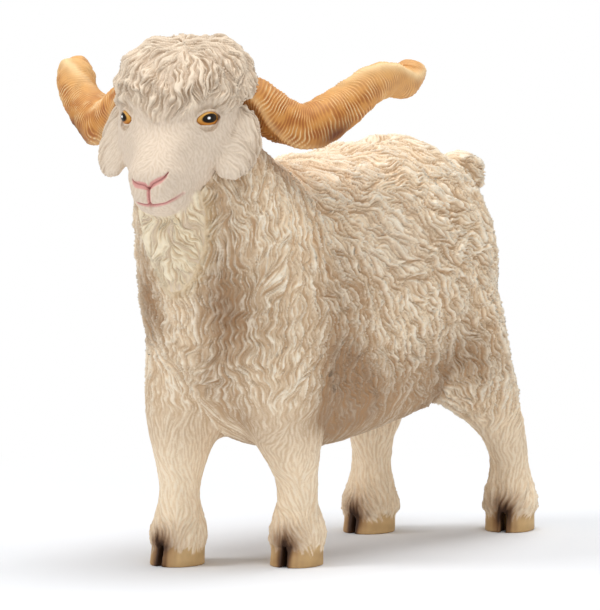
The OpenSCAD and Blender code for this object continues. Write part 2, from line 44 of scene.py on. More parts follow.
# Frames, in millimetres: the stance the goat was laid out in, and the turned head

STANCE = np.array([7.75, 5.35, 0.0])
SKULL = np.array([0.0, -33.0, 61.4]) + STANCE
TURN = math.radians(21)
HEAD_AXES = np.array([
    [math.cos(TURN), -math.sin(TURN), 0.0],
    [math.sin(TURN), math.cos(TURN), 0.0],
    [0.0, 0.0, 1.0],
])


def to_head(points):
    return (points - SKULL) @ HEAD_AXES


def from_head(points):
    return np.asarray(points, float) @ HEAD_AXES.T + SKULL


def turn_to_world(vectors):
    return vectors @ HEAD_AXES.T


# Castings by name, and the material slot that each takes its finish from

LEGS = ["front_left_leg", "front_right_leg", "rear_left_leg", "rear_right_leg"]

# Middle of each hoof (x, y) in millimetres, and its turn in degrees
FEET = {
    "front_left_hoof": (14.25, -11.15, 12),
    "front_right_hoof": (1.25, -21.15, 0),
    "rear_left_hoof": (14.95, 36.1, 22),
    "rear_right_hoof": (0.55, 21.6, 0),
}
SLOTS = {
    **dict.fromkeys(["torso", "tail", "forelock", "beard"] + LEGS, "fleece"),
    **dict.fromkeys(["head", "left_ear", "right_ear"], "face"),
    **dict.fromkeys(FEET, "hoof"),
    **dict.fromkeys(["left_eye", "right_eye"], "eye"),
    **dict.fromkeys(["left_horn", "right_horn"], "horn"),
}

# Small helpers


def unit(v):
    return v / np.maximum(np.linalg.norm(v, axis=-1, keepdims=True), 1e-9)


def smooth(low, high, x):
    """0 at low, 1 at high, with a soft start and end. Low may be the larger."""
    t = np.clip((x - low) / (high - low), 0.0, 1.0)
    return t * t * (3.0 - 2.0 * t)


def bell(x, width):
    return np.exp(-((x / width) ** 2))


def linear(r, g, b):
    """Paint colour from 0-255 values to linear light."""
    c = np.array([r, g, b]) / 255.0
    return np.where(c <= 0.04045, c / 12.92, ((c + 0.055) / 1.055) ** 2.4)


def mix(a, b, t):
    return a + (b - a) * t[:, None]


def two_tone(low, high, t):
    """One colour per point, from low at 0 to high at 1."""
    return mix(np.tile(low, (len(t), 1)), high, t)


def ripple(points, size, seed, waves=7):
    """Smooth noise of about -1 to 1: a few crossed waves of one size."""
    r = np.random.default_rng(seed)
    heading = unit(r.normal(size=(waves, 3))) * (2 * math.pi / size)
    heading *= r.uniform(0.7, 1.4, (waves, 1))
    shift = r.uniform(0, 2 * math.pi, waves)
    return np.sin(points @ heading.T + shift).sum(1) / math.sqrt(waves * 0.9)


def to_line(points, line):
    """Distance from points to a polyline, and the share of its length."""
    line = np.asarray(line, float)
    best = np.full(len(points), 1e9)
    share = np.zeros(len(points))
    count = len(line) - 1
    for i in range(count):
        a, d = line[i], line[i + 1] - line[i]
        t = np.clip(((points - a) @ d) / (d @ d), 0.0, 1.0)
        gap = np.linalg.norm(points - a - t[:, None] * d, axis=1)
        near = gap < best
        best[near] = gap[near]
        share[near] = (i + t[near]) / count
    return best, share


def read(values, low, step, points):
    """Trilinear look-up in a box of values, with one or more channels."""
    shape = values.shape[:3]
    q = np.clip((points - low) / step, 0, np.array(shape) - 1.001)
    i = q.astype(np.int64)
    f = (q - i).astype(np.float32)
    flat = values.reshape(shape[0] * shape[1] * shape[2], -1)
    at = (i[:, 0] * shape[1] + i[:, 1]) * shape[2] + i[:, 2]
    out = np.zeros((len(points), flat.shape[1]), np.float32)
    for dx in (0, 1):
        wx = f[:, 0] if dx else 1 - f[:, 0]
        for dy in (0, 1):
            wy = wx * (f[:, 1] if dy else 1 - f[:, 1])
            for dz in (0, 1):
                w = wy * (f[:, 2] if dz else 1 - f[:, 2])
                out += w[:, None] * flat[at + (dx * shape[1] + dy) * shape[2] + dz]
    return out


def islands(start, end, count):
    """For each point, the lowest point that edges join it to."""
    label = np.arange(count)
    while True:
        low = label.copy()
        np.minimum.at(low, start, label[end])
        np.minimum.at(low, end, low[start])
        low = low[low]
        if (low == label).all():
            return label
        label = low


# Distance fields of the castings


def node_mesh(name):
    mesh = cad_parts[name].data
    mesh.calc_loop_triangles()
    co = np.empty(len(mesh.vertices) * 3, np.float32)
    mesh.vertices.foreach_get("co", co)
    tri = np.empty(len(mesh.loop_triangles) * 3, np.int32)
    mesh.loop_triangles.foreach_get("vertices", tri)
    return co.reshape(-1, 3) * 1000.0, tri.reshape(-1, 3).astype(np.uint32)


class Field:
    """Signed distance samples in a box round some castings. Guests don't widen the box."""

    def __init__(self, names, step, guests=(), margin=2.5):
        self.step = step
        self.meshes = {n: node_mesh(n) for n in names}
        low = np.min([m[0].min(0) for m in self.meshes.values()], 0) - margin
        high = np.max([m[0].max(0) for m in self.meshes.values()], 0) + margin
        self.meshes.update({n: node_mesh(n) for n in guests})
        self.low = low.astype(np.float32)
        self.shape = tuple(int(v) for v in np.ceil((high - low) / step) + 1)
        self.parts = {}
        self.value = None

    def part(self, name, band):
        co, tri = self.meshes[name]
        grid = vdb.FloatGrid.createLevelSetFromPolygons(
            points=np.ascontiguousarray(co - self.low),
            triangles=np.ascontiguousarray(tri),
            transform=vdb.createLinearTransform(self.step),
            exBandWidth=band / self.step,
            inBandWidth=band / self.step,
        )
        out = np.empty(self.shape, np.float32)
        grid.copyToArray(out)
        return out

    def join(self, name, blend, band=2.2):
        """Adds a casting, with a fillet about as wide as blend."""
        add = self.part(name, band)
        self.parts[name] = add
        if self.value is None:
            self.value = add.copy()
            return
        gap = np.clip(blend - np.abs(self.value - add), 0.0, None)
        np.minimum(self.value, add, out=self.value)
        self.value -= gap * gap / (4.0 * blend)

    def look(self, points, values=None):
        values = self.value if values is None else values
        return read(values, self.low, self.step, points)[:, 0].astype(float)

    def slope(self, points, reach=0.5):
        out = np.empty_like(points)
        for k in range(3):
            d = np.zeros(3)
            d[k] = reach
            out[:, k] = self.look(points + d) - self.look(points - d)
        return unit(out)

    def skin(self):
        grid = vdb.FloatGrid(float(self.value.max()))
        grid.transform = vdb.createLinearTransform(self.step)
        grid.copyFromArray(self.value)
        points, _, quads = grid.convertToPolygons(isovalue=0.0, adaptivity=0.0)
        return Skin(points.astype(float) + self.low, quads.astype(np.int64))


class Skin:
    """A quad mesh in arrays."""

    def __init__(self, v, quads):
        self.v = v
        self.quads = quads
        a, b, c, d = (v[quads[:, k]] for k in range(4))
        volume = np.einsum("ij,ij->i", a, np.cross(b, c) + np.cross(c, d)).sum()
        if volume < 0:
            self.quads = quads[:, ::-1].copy()
        q = self.quads
        self.start = np.concatenate([q[:, k] for k in range(4)])
        self.end = np.concatenate([q[:, (k + 1) % 4] for k in range(4)])
        self.degree = np.maximum(np.bincount(self.start, minlength=len(v)), 1)

    def largest(self):
        """Keeps the shell with the most points."""
        label = islands(self.start, self.end, len(self.v))
        names, size = np.unique(label, return_counts=True)
        keep = label == names[size.argmax()]
        place = np.cumsum(keep) - 1
        quads = self.quads[keep[self.quads[:, 0]]]
        return Skin(self.v[keep], place[quads])

    def mean(self, values):
        if values.ndim == 1:
            return np.bincount(self.start, values[self.end], len(self.v)) / self.degree
        return np.stack([self.mean(values[:, k]) for k in range(values.shape[1])], 1)

    def relax(self, rounds):
        for _ in range(rounds):
            self.v += 0.6 * (self.mean(self.v) - self.v)

    def blur(self, values, rounds):
        for _ in range(rounds):
            values = 0.4 * values + 0.6 * self.mean(values)
        return values

    def normals(self):
        q, v = self.quads, self.v
        face = np.cross(v[q[:, 2]] - v[q[:, 0]], v[q[:, 3]] - v[q[:, 1]])
        out = np.zeros_like(v)
        for k in range(4):
            for axis in range(3):
                out[:, axis] += np.bincount(q[:, k], face[:, axis], len(v))
        return unit(out)


# Wool: noise drawn out along a waving flow


def swing(f, n, angle):
    """Tangent directions turned about the normals."""
    f = unit(f - (f * n).sum(1, keepdims=True) * n)
    return f * np.cos(angle)[:, None] + np.cross(n, f) * np.sin(angle)[:, None]


class Strokes:
    """A flow on a lattice round a skin, and the stroke patterns that follow it."""

    def __init__(self, field, flow, pitch=0.4, band=1.6):
        self.low, self.pitch = field.low, pitch
        shape = tuple(int(k * field.step / pitch) + 2 for k in field.shape)
        at = np.indices(shape).reshape(3, -1).T * pitch + field.low
        near = np.abs(field.look(at)) < band
        values = np.zeros((len(at), 3), np.float32)
        values[near] = flow(at[near], field.slope(at[near]))
        self.flow = values.reshape(*shape, 3)

    def draw(self, points, grains, pace=0.25):
        """A pattern of mean 0 and spread 1 for each grain (size, half length, seed)."""
        low = points.min(0) - 1.0
        boxes = []
        for size, half, seed in grains:
            shape = ((points.max(0) + 1.0 - low) / size).astype(int) + 2
            boxes.append(np.random.default_rng(seed).normal(size=shape).astype(np.float32))
        total = [read(b, low, g[0], points)[:, 0] for b, g in zip(boxes, grains)]
        longest = max(half for _, half, _ in grains)
        for way in (pace, -pace):
            p = points.copy()
            for k in range(1, int(longest / pace) + 1):
                p += way * unit(read(self.flow, self.low, self.pitch, p))
                for j, (size, half, _) in enumerate(grains):
                    share = k * pace / half
                    if share < 1:
                        total[j] += (1 - share * share) * read(boxes[j], low, size, p)[:, 0]
        return [(t - t.mean()) / t.std() for t in total]


def crisp(skin, pattern, rounds):
    """A pattern without its broad part, spread 1."""
    out = pattern - skin.blur(pattern, rounds)
    return out / out.std()


def rounded(pattern):
    """A pattern of spread 1 held between -1 and 1."""
    return np.tanh(1.2 * pattern)


def ridged(pattern):
    """Thin crests where a pattern changes sign, from about -1 to 1."""
    return 2.0 * bell(pattern, 0.42) - 1.0


# Materials: vertex paint with fine mottling and a fine grain

ROUGH_SPREAD = 0.06
GRAIN_DEPTH = 0.0001


def painted(name, rough, grain, mottle=0.06, specular=0.3, scale=1400.0):
    m = bpy.data.materials.new(name)
    m.use_nodes = True
    nodes, links = m.node_tree.nodes, m.node_tree.links
    shader = nodes["Principled BSDF"]
    paint = nodes.new("ShaderNodeAttribute")
    paint.attribute_name = "paint"
    where = nodes.new("ShaderNodeTexCoord")
    noise = nodes.new("ShaderNodeTexNoise")
    noise.inputs["Scale"].default_value = scale
    noise.inputs["Detail"].default_value = 3.0
    links.new(where.outputs["Object"], noise.inputs["Vector"])
    level = nodes.new("ShaderNodeMapRange")
    level.inputs["To Min"].default_value = 1.0 - mottle
    level.inputs["To Max"].default_value = 1.0 + mottle
    links.new(noise.outputs["Fac"], level.inputs["Value"])
    tint = nodes.new("ShaderNodeVectorMath")
    tint.operation = "SCALE"
    links.new(paint.outputs["Color"], tint.inputs[0])
    links.new(level.outputs["Result"], tint.inputs["Scale"])
    links.new(tint.outputs["Vector"], shader.inputs["Base Color"])
    gloss = nodes.new("ShaderNodeMapRange")
    gloss.inputs["To Min"].default_value = rough - ROUGH_SPREAD
    gloss.inputs["To Max"].default_value = rough + ROUGH_SPREAD
    links.new(noise.outputs["Fac"], gloss.inputs["Value"])
    links.new(gloss.outputs["Result"], shader.inputs["Roughness"])
    if grain:
        fine = nodes.new("ShaderNodeTexNoise")
        fine.inputs["Scale"].default_value = scale * 3.0
        fine.inputs["Detail"].default_value = 2.0
        links.new(where.outputs["Object"], fine.inputs["Vector"])
        bump = nodes.new("ShaderNodeBump")
        bump.inputs["Strength"].default_value = grain
        bump.inputs["Distance"].default_value = GRAIN_DEPTH
        links.new(fine.outputs["Fac"], bump.inputs["Height"])
        links.new(bump.outputs["Normal"], shader.inputs["Normal"])
    shader.inputs["Specular IOR Level"].default_value = specular
    return m


MATERIALS = {
    "fleece": painted("fleece paint", 0.72, 0.35),
    "face": painted("face paint", 0.7, 0.3, mottle=0.04),
    "horn": painted("horn paint", 0.55, 0.3, mottle=0.08),
    "hoof": painted("hoof paint", 0.6, 0.4, mottle=0.08),
    "eye": painted("eye enamel", 0.3, 0.0, mottle=0.02, specular=0.12),
}

# Blender objects


def build(name, v, faces, paint, node, normals=None):
    """A mesh object from quads and triangles in millimetres, with vertex paint."""
    mesh = bpy.data.meshes.new(name)
    sizes = np.concatenate([np.full(len(f), f.shape[1]) for f in faces])
    loops = np.concatenate([f.ravel() for f in faces]).astype(np.int32)
    mesh.vertices.add(len(v))
    mesh.vertices.foreach_set("co", (v / 1000.0).astype(np.float32).ravel())
    mesh.loops.add(len(loops))
    mesh.loops.foreach_set("vertex_index", loops)
    mesh.polygons.add(len(sizes))
    starts = np.concatenate([[0], np.cumsum(sizes)[:-1]]).astype(np.int32)
    mesh.polygons.foreach_set("loop_start", starts)
    mesh.update(calc_edges=True)
    mesh.validate()
    mesh.shade_smooth()
    if normals is not None:
        mesh.normals_split_custom_set_from_vertices(normals)
    colours = mesh.color_attributes.new("paint", "FLOAT_COLOR", "POINT")
    rgba = np.ones((len(v), 4), np.float32)
    rgba[:, :3] = np.clip(paint, 0.0, 1.0)
    colours.data.foreach_set("color", rgba.ravel())
    thing = bpy.data.objects.new(name, mesh)
    bpy.context.scene.collection.objects.link(thing)
    slot = SLOTS[node]
    mesh.materials.append(MATERIALS[slot])
    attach(thing, "root")
    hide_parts(node)
    return thing


def share_out(skin, labels, paint, names, skip):
    """Splits a skin into one closed piece per casting, and drops those in skip.

    The caps have points of their own, and the rest keeps the whole skin's normals, so that no
    seam shows.
    """
    normals = skin.normals()
    vote = labels[skin.quads]
    middle = np.median(vote, axis=1).astype(int)
    owner = vote[np.arange(len(vote)), np.abs(vote - middle[:, None]).argmin(1)]
    for k, node in enumerate(names):
        quads = skin.quads[owner == k]
        if node in skip or not len(quads):
            continue
        used = np.unique(quads)
        place = np.zeros(len(skin.v), np.int64)
        place[used] = np.arange(len(used))
        quads = place[quads]
        v, colour, lean = skin.v[used], paint[used], normals[used]
        start = np.concatenate([quads[:, i] for i in range(4)])
        end = np.concatenate([quads[:, (i + 1) % 4] for i in range(4)])
        n = len(v)
        back = np.isin(start * n + end, end * n + start)
        start, end = start[~back], end[~back]
        label = islands(start, end, n)
        faces = [quads]
        for rim in np.unique(label[start]):
            own = label[start] == rim
            edge, index = np.unique(np.concatenate([end[own], start[own]]), return_inverse=True)
            index = index.reshape(2, -1) + len(v)
            centre = np.full(own.sum(), len(v) + len(edge))
            faces.append(np.stack([index[0], index[1], centre], 1))
            v = np.vstack([v, v[edge], v[edge].mean(0)])
            colour = np.vstack([colour, colour[edge], colour[edge].mean(0)])
            lean = np.vstack([lean, np.zeros((len(edge) + 1, 3))])
        build(f"{node}_skin", v, faces, colour, node, lean)


# Body: trunk, legs, hooves and tail in one skin, so that the fleece runs on over the seams

BODY_STEP = 0.17
PARTS = ["torso"] + LEGS + ["tail", "head", "beard"] + list(FEET)
body = Field(PARTS, BODY_STEP * COARSE)
body.join("torso", 0.5)
for leg in LEGS:
    body.join(leg, 2.0)
for hoof in FEET:
    body.join(hoof, 0.8)
body.join("tail", 1.2)
body.join("head", 0.5)
body.join("beard", 1.4)

# Low down the hooves keep their edges. Above them the skin is smoothed further
coat = body.skin().largest()
coat.relax(4)
sharp = coat.v.copy()
coat.relax(16)
coat.v += (sharp - coat.v) * smooth(3.2, 2.2, coat.v[:, 2])[:, None]
body_normals = coat.normals()

rest = coat.v - STANCE
across, along_back, height = rest.T
part_gap = np.stack([body.look(coat.v, body.parts[n]) for n in PARTS], 1)
body_label = part_gap.argmin(1)
torso_gap = part_gap[:, 0]
beard_gap = part_gap[:, PARTS.index("beard")]
leg_pull = np.clip(torso_gap - part_gap[:, 1:5].min(1), -1, 3)

# Wool on the body. It reaches lower on the hind legs, and lies calmer on the breast

drop = 6.0 * smooth(5.0, 15.0, along_back)
on_leg = smooth(-0.4, 1.2, leg_pull) * smooth(26.0, 17.0, height + drop)
wool = 1.0 - on_leg
long_wool = wool * smooth(17.0, 30.0, height + drop)
fetlock = smooth(10.0, 6.0, height) * smooth(2.0, 3.0, height)
calm_front = smooth(-14.0, -24.0, along_back)

WAVE_LENGTH = 3.0
WAVE_WAY = unit(np.array([0.0, 0.45, -0.9]))
LOCK_LENGTH = 3.6
LOCK_WAY = unit(np.array([0.0, 0.7, -0.75]))
LOCK_TIP = 0.12

# Strokes: grain and half length in millimetres, and seed
BODY_GRAINS = [(0.26, 2.2, 101), (0.4, 3.2, 102), (0.85, 4.5, 103), (0.2, 0.8, 104)]


def body_flow(p, n):
    """Down and back over the flanks, parted along the spine, in waves."""
    q = p - STANCE
    up = smooth(20.0, 54.0, q[:, 2])
    front = smooth(0.0, -28.0, q[:, 1])
    back = (0.35 + 1.25 * up) * (1 - front) - 0.12 * front
    back = back * smooth(14.0, 22.0, q[:, 2])
    side = 0.5 * np.tanh(q[:, 0] / 3.0) * smooth(48, 57, q[:, 2])
    f = np.stack([side, back, -np.ones(len(q))], 1)
    phase = 2 * math.pi * (q * WAVE_WAY).sum(1) / WAVE_LENGTH
    phase = phase + 2.2 * ripple(p, 9.0, 71) + 0.8 * ripple(p, 4.5, 72)
    wave = (0.1 + 0.42 * smooth(13.0, 24.0, q[:, 2])) * np.sin(phase)
    return swing(f, n, 0.34 * ripple(p, 11.0, 5) + 0.26 * ripple(p, 4.2, 6) + wave)


thin, wisp, tuft, stubble = Strokes(body, body_flow).draw(coat.v, BODY_GRAINS)
strand = rounded(crisp(coat, thin, 8))
crest = ridged(crisp(coat, wisp, 40))
tuft = crisp(coat, tuft, 90)
tress = rounded(tuft)
stubble = rounded(crisp(coat, stubble, 8))

# Locks overlap like shingles: each rises along the flow and ends in a step
lock = (rest @ LOCK_WAY) / LOCK_LENGTH + 0.75 * tuft
lock = np.mod(lock + 0.4 * ripple(coat.v, 5.0, 73), 1.0)
shingle = np.minimum(lock / (1 - LOCK_TIP), (1 - lock) / LOCK_TIP)

relief = (0.02 + 0.05 * long_wool) * strand + (0.02 + 0.19 * long_wool + 0.06 * fetlock) * crest
relief += (0.08 + 0.22 * long_wool + 0.1 * fetlock) * (shingle - 0.5)
relief += (0.07 + 0.07 * long_wool + 0.06 * fetlock) * tress + 0.03 * (1 - long_wool) * stubble
relief *= (1 - 0.45 * smooth(0.45, 0.9, body_normals[:, 2])) * (1.05 - 0.3 * calm_front)

ridge = 0.35 * strand + 0.5 * crest + 0.25 * tress + 0.5 * (shingle - 0.5)
ridge += (stubble - ridge) * (1 - wool) * 0.8

# Painted shade, mixed with the coat's own brown wash: dark below, in the hollows of the breast, and
# behind the elbow

limb = smooth(-1.6, 0.6, leg_pull) * smooth(30.0, 20.0, height)
under = smooth(35.0, 19.0, height) * (1 - limb) * (1 - 0.9 * calm_front)
breast = smooth(-20.0, -27.0, along_back) * smooth(16.0, 21.0, height)
between = smooth(33.0, 26.0, height)
aside = (np.abs(across) - 7.0) * (1 - between) + (across - 3.5) * between
hollow = bell(aside, 4.2) * (0.65 + 0.35 * smooth(50.0, 43.0, height))
hollow *= 0.55 + 0.45 * bell(height - 37.0, 6.0)
leg_top = limb * smooth(12.5, 19.0, height) * smooth(-8.0, -12.0, along_back)
flank = smooth(5.0, 8.5, np.abs(across)) * smooth(17.0, 21.0, height)
shoulder = bell(along_back + 16.0, 6.5) * smooth(50.0, 40.0, height)
elbow = bell(along_back + 13.0, 6.0) * smooth(36.0, 25.0, height)
groin = bell(along_back - 13.0, 6.0) * bell(height - 26.0, 7.0)
# Painted light: a paler patch high on the flank
flank_light = bell(along_back + 3.0, 7.0) * bell(height - 45.0, 6.0)
tone = 0.95 * under + breast * hollow + 0.38 * leg_top + 0.5 * groin
tone += flank * (0.55 * shoulder + 0.6 * elbow) + 0.10 * ripple(coat.v, 16.0, 77)
tone = np.clip(tone, 0, 1)

CREAM = linear(250, 226, 194)
PALE = linear(255, 244, 226)
WASH = linear(178, 138, 100)
BROWN = linear(134, 92, 56)
SEAM = linear(222, 198, 162)
STRAW = linear(247, 232, 203)
STRAW_WASH = linear(192, 160, 118)
SEAM_REACH = 1.8

wash = (0.72 - 0.25 * calm_front) * (0.15 + 0.85 * wool)
bib = smooth(3.2, 0.4, beard_gap)
to_seam = np.where(beard_gap < SEAM_REACH, np.abs(beard_gap - torso_gap), 2.0)
# Painted shade together with the coat's brown wash: cream turns brown where tone is high
coat_paint = two_tone(CREAM, BROWN, tone)
coat_paint = mix(coat_paint, WASH, wash * smooth(0.1, -0.8, ridge))
coat_paint = mix(coat_paint, PALE, (1.0 - 0.85 * tone) * smooth(0.0, 0.6, ridge) * (0.4 + 0.6 * wool))
# Painted light: the patch high on the flank is lightened toward the pale colour
coat_paint = mix(coat_paint, PALE, 0.3 * flank_light)
coat_paint = mix(coat_paint, two_tone(STRAW_WASH, STRAW, smooth(-1.0, 0.3, ridge)), 0.75 * bib)
coat_paint = mix(coat_paint, SEAM, 0.7 * smooth(1.3, 0.0, to_seam))

# Hooves: horn-coloured nails under a ragged hair line, and a dark stain up the front

HOOF_LOW = linear(182, 146, 98)
HOOF_HIGH = linear(212, 178, 128)
SEPIA = linear(140, 92, 50)
DARK = linear(52, 32, 18)
HAIR_LINE = 2.3
FOOT_REACH = 7

hair_line = HAIR_LINE + 0.35 * strand + 0.45 * ripple(coat.v, 2.2, 41)
fray = 0.2 * ripple(coat.v * [1, 1, 0.25], 1.0, 43)
nail, plume = np.zeros(len(rest)), np.zeros(len(rest))
for x, y, turn in FEET.values():
    gx, gy = coat.v[:, 0] - x, coat.v[:, 1] - y
    turn = math.radians(turn)
    lateral = gx * math.cos(turn) + gy * math.sin(turn)
    forward = gx * math.sin(turn) - gy * math.cos(turn)
    here = np.hypot(gx, gy) < FOOT_REACH
    rim = hair_line + 0.5 * smooth(0.0, -3.0, forward)
    nail = np.maximum(nail, here * smooth(0.25, -0.25, height - rim))
    lick = here * bell(lateral + fray, 1.4 + 0.2 * height) * smooth(0.8, 2.6, forward)
    plume = np.maximum(plume, lick * smooth(7.4, 2.6, height - 0.4 * strand))
grown = 0.5 + 0.35 * ripple(coat.v * [0.3, 0.3, 2.0], 3.0, 3) + 0.15 * height
coat_paint = mix(coat_paint, two_tone(HOOF_LOW, HOOF_HIGH, np.clip(grown, 0, 1)), nail)
coat_paint = mix(coat_paint, SEPIA, np.clip(1.1 * plume, 0, 1))
coat_paint = mix(coat_paint, DARK, np.clip(1.4 * plume ** 3, 0, 0.95))

coat.v += body_normals * (relief * (1 - nail) * smooth(0.0, 0.5, to_seam))[:, None]
share_out(coat, body_label, coat_paint, PARTS, skip=["head", "beard"])

# Head: skull, mop, ears and beard in one skin, blended into the neck

HEAD_STEP = 0.13
TOPS = ["head", "forelock", "left_ear", "right_ear", "beard", "torso"]
top = Field(TOPS[:5], HEAD_STEP * COARSE, guests=["left_eye", "right_eye", "torso"])
top.join("head", 0.4)
top.join("left_eye", 0.5)
top.join("right_eye", 0.5)
top.join("forelock", 1.5)
top.join("left_ear", 0.4)
top.join("right_ear", 0.4)
by_beard = top.value.copy()
top.join("beard", 1.4)
top.join("torso", np.where(top.parts["beard"] < by_beard, 1.4, 0.2).astype(np.float32))
face = top.skin().largest()
face.relax(14)

# The muzzle narrows towards the chin, and the lips stand as far forward as the nose
spot = to_head(face.v)
slim = smooth(-5.5, -10.0, spot[:, 2]) * smooth(-14.0, -11.5, spot[:, 2])
spot[:, 0] *= 1 - 0.25 * slim * smooth(-8.0, -10.5, spot[:, 1])
face.v = from_head(spot)
lips = bell(spot[:, 0], 3.0) * bell(spot[:, 2] + 10.4, 1.7) * smooth(-7.5, -9.5, spot[:, 1])
face.v += turn_to_world(np.array([[0.0, -1.5, 0.0]])) * lips[:, None]

face_normals = face.normals()
spot = to_head(face.v)
top_gap = np.stack([top.look(face.v, top.parts[n]) for n in TOPS], 1)
top_label = top_gap.argmin(1)
head_gap = np.minimum(top_gap[:, 0], 0.3)
mop_gap = top_gap[:, 1]
ear_gap = top_gap[:, 2:4].min(1)
beard_gap = top_gap[:, 4]

# Wool and hair on the head

HEAD_WAVE = 3.1
CROWN = np.array([0.0, 1.5, 8.0])
HEAD_GRAINS = [(0.8, 4.5, 201), (0.4, 3.2, 204), (0.2, 2.0, 202), (0.18, 0.45, 203)]


def head_flow(p, n):
    """Outwards from the crown over the mop, and down and back over the face."""
    q = to_head(p)
    crown = q - CROWN
    mop = unit(crown) + [0.0, -0.25, -0.35]
    muzzle = np.stack([0.45 * np.tanh(q[:, 0] / 2.0), 0.35 * np.ones(len(q)), -np.ones(len(q))], 1)
    high = smooth(-0.5, 3.0, q[:, 2] - 0.15 * q[:, 1])
    f = turn_to_world(mop * high[:, None] + unit(muzzle) * (1 - high)[:, None])
    shag = np.maximum(high, smooth(-9.5, -12.0, q[:, 2]))
    phase = 2 * math.pi * np.linalg.norm(crown, axis=1) / HEAD_WAVE
    phase = phase + 2.4 * ripple(p, 6.0, 81) + 1.3 * ripple(p, 3.4, 82)
    wave = (0.1 + 0.36 * shag) * np.sin(phase)
    return swing(f, n, 0.35 * ripple(p, 5.0, 8) + 0.3 * ripple(p, 2.2, 9) + wave)


locks, curls, threads, down = Strokes(top, head_flow).draw(face.v, HEAD_GRAINS, pace=0.15)
locks = rounded(crisp(face, locks, 90))
curls = ridged(crisp(face, curls, 50))
threads = rounded(crisp(face, threads, 12))
down = rounded(crisp(face, down, 6))

# Where each kind of hair grows: mop, ear fringe and nape, beard, and bare ear
ragged = 0.35 * locks + 0.25 * curls
on_ear = smooth(0.35, -0.1, ear_gap)
on_mop = smooth(0.5, -0.2, mop_gap - head_gap - ragged) * (1 - on_ear)
lean = face_normals @ HEAD_AXES
outward = 0.9 * np.sign(spot[:, 0]) * lean[:, 0] + 0.45 * lean[:, 1]
fringe = smooth(0.0, 0.5, outward + 0.25 * locks) * smooth(-9.5, -6.0, spot[:, 2])
fringe = on_ear * np.maximum(fringe, smooth(-0.5, 2.0, spot[:, 2] + locks))
nape = smooth(0.5, 3.5, spot[:, 1] + locks) * (1 - on_ear)
on_mop = np.maximum(np.maximum(on_mop, nape), 0.8 * fringe)
on_ear = on_ear * (1 - fringe)
on_beard = smooth(0.5, -0.3, beard_gap - head_gap - ragged)

# Lids, brows, nose and mouth, in the head's own millimetres

EYE_AT = np.array([5.9, -5.75, 0.8])
EYE_OUT = unit(np.array([0.70, -0.68, 0.20]))
EYE_ALONG = unit(np.array([0.66, 0.735, 0.15]))
EYE_UP = np.cross(EYE_OUT, EYE_ALONG)
EYE_HALF = np.array([1.7, 0.9])

# Lines round the eye, along it and up from its middle
LID_FOLD = [(-1.2, 1.15), (0.2, 1.65), (1.6, 1.25), (2.3, 0.3)]
BROW = [(-2.4, 1.7), (-0.3, 2.8), (2.2, 2.2)]
EYE_BAG = [(-2.0, -1.5), (0.0, -2.2), (1.8, -1.7)]

# Lines on the muzzle's front, sideways and up
NOSTRIL = [(2.5, -6.6), (2.2, -7.1), (1.7, -7.4), (1.1, -7.6), (0.6, -7.8), (0.1, -8.3)]
LIP_LINE = [(0.0, -8.2), (0.0, -10.6)]
MOUTH = [(0.0, -10.6), (0.9, -10.5), (2.0, -10.2), (2.9, -9.7), (3.7, -9.0)]
NOSE_ROLL = 0.2

# Swellings and the hollow of the cheek
LIP_PUFF = [1.9, -12.1, -9.1]
CHIN = [0.0, -11.3, -11.7]
CHEEK = [(5.4, -7.2, -2.6), (4.4, -8.8, -4.6)]


def almond(a, b):
    """1 on the rim of the eye, 0 in its middle."""
    u, w = a / EYE_HALF[0], b / EYE_HALF[1]
    return 0.45 * np.hypot(u, w) + 0.55 * (np.abs(w) ** 1.5 + u * u)


off_front = 5 * (1 - smooth(-7.5, -9.0, spot[:, 1]))
sculpt, lid, shadow, pink, crease = np.zeros((5, len(spot)))
for side in (1, -1):
    q = spot * [side, 1, 1]
    d = q - EYE_AT
    a, b, c = d @ EYE_ALONG, d @ EYE_UP, d @ EYE_OUT
    near = (np.abs(c) < 2.2) & (q[:, 0] > 0.5)
    flat = np.stack([a, b], 1)
    g = almond(a, b)
    sculpt -= near * 0.45 * smooth(1.08, 0.9, g)
    sculpt += near * bell(g - 1.28, 0.17) * np.where(b > 0, 0.2, 0.1)
    lid = np.maximum(lid, near * smooth(1.4, 1.1, g))
    fold = to_line(flat, LID_FOLD)[0]
    shadow = np.maximum(shadow, near * bell(fold, 0.34))
    sculpt -= near * 0.1 * bell(fold, 0.3)
    sculpt += near * 0.5 * bell(to_line(flat, BROW)[0], 0.8)
    sculpt -= near * 0.08 * bell(to_line(flat, EYE_BAG)[0], 0.7)
    rolled = np.stack([q[:, 0], q[:, 2] - NOSE_ROLL * side * q[:, 0]], 1)
    comma, along = to_line(rolled, NOSTRIL)
    comma = comma + off_front
    width = 0.10 + 0.32 * smooth(0.0, 0.5, along) * smooth(1.15, 0.75, along)
    sculpt -= 0.40 * bell(comma, 0.8 * width)
    pink = np.maximum(pink, smooth(1.25, 0.85, comma / width))
    crease = np.maximum(crease, smooth(0.13, 0.05, comma))
    smile, along = to_line(q[:, [0, 2]], MOUTH)
    smile = smile + off_front
    sculpt -= 0.34 * bell(smile, 0.22) * (1 - 0.4 * along)
    pink = np.maximum(pink, smooth(0.26, 0.14, smile) * (1 - 0.75 * smooth(0.45, 1, along)))
    crease = np.maximum(crease, smooth(0.12, 0.05, smile) * (1 - 0.6 * smooth(0.6, 1, along)))
    sculpt += 0.42 * bell(np.linalg.norm(q - LIP_PUFF, axis=1), 1.3)
    sculpt -= 0.5 * bell(to_line(q, CHEEK)[0], 1.9)
lip = to_line(spot[:, [0, 2]], LIP_LINE)[0] + off_front
sculpt -= 0.36 * bell(lip, 0.24)
pink = np.maximum(pink, smooth(0.32, 0.2, lip))
crease = np.maximum(crease, smooth(0.15, 0.06, lip))
sculpt += 0.30 * bell(np.linalg.norm(spot - CHIN, axis=1), 1.1)

